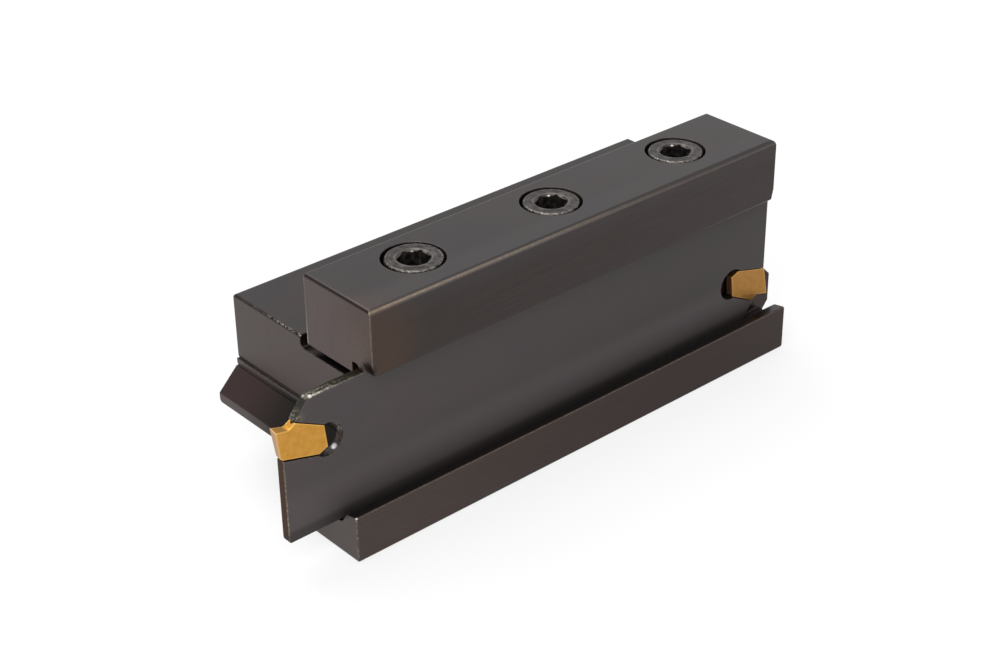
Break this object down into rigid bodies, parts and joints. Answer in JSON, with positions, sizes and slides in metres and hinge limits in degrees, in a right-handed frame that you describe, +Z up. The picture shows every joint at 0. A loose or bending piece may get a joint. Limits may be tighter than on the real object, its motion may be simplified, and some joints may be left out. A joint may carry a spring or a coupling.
{
  "type": "parting-off tool holder",
  "caption": "Shanked steel tool block with a clamp bar that holds a reversible parting blade, an indexable insert gripped in each end.",
  "frame": {"origin": "on the underside of the foot, in the plane of the blade's front face, midway along the clamp bar", "axes": "+X along the blade from its insert_front end to its insert_rear end, +Y from the jaw to the back of the shank, +Z up from the foot to the clamp bar"},
  "size_m": [0.1152, 0.0393, 0.0435],
  "materials": {
    "block_steel": "satin black oxide on milled steel",
    "clamp_steel": "satin black oxide with a brown bloom",
    "screw_steel": "black oxide on alloy steel",
    "blade_steel": "ground and blackened",
    "coated_carbide": "gold nitride coating, satin"
  },
  "bodies": {
    "block": {"tool_block": "block_steel"},
    "clamp": {"clamp_bar": "clamp_steel"},
    "screw_1": {"clamp_screw_1": "screw_steel"},
    "screw_2": {"clamp_screw_2": "screw_steel"},
    "screw_3": {"clamp_screw_3": "screw_steel"},
    "blade": {"parting_blade": "blade_steel", "insert_front": "coated_carbide", "insert_rear": "coated_carbide"}
  },
  "joints": [
    {"name": "blade_slide", "type": "slide", "parent": "block", "child": "blade", "axis": [1, 0, 0], "range_m": [-0.03, 0.03]},
    {"name": "clamp_lift", "type": "slide", "parent": "block", "child": "clamp", "axis": [0, 0, 1], "range_m": [0, 0.0015]},
    {"name": "screw_1_turn", "type": "hinge", "parent": "clamp", "child": "screw_1", "pos_m": [-0.0299, 0.0068, 0.03725], "axis": [0, 0, 1], "range_deg": [0, 540]},
    {"name": "screw_2_turn", "type": "hinge", "parent": "clamp", "child": "screw_2", "pos_m": [0, 0.0068, 0.03725], "axis": [0, 0, 1], "range_deg": [0, 540]},
    {"name": "screw_3_turn", "type": "hinge", "parent": "clamp", "child": "screw_3", "pos_m": [0.0299, 0.0068, 0.03725], "axis": [0, 0, 1], "range_deg": [0, 540]}
  ],
  "couplings": [
    {"joint": "screw_1_turn", "follows": "clamp_lift", "rad_per_m": 6283.2},
    {"joint": "screw_2_turn", "follows": "clamp_lift", "rad_per_m": 6283.2},
    {"joint": "screw_3_turn", "follows": "clamp_lift", "rad_per_m": 6283.2}
  ]
}
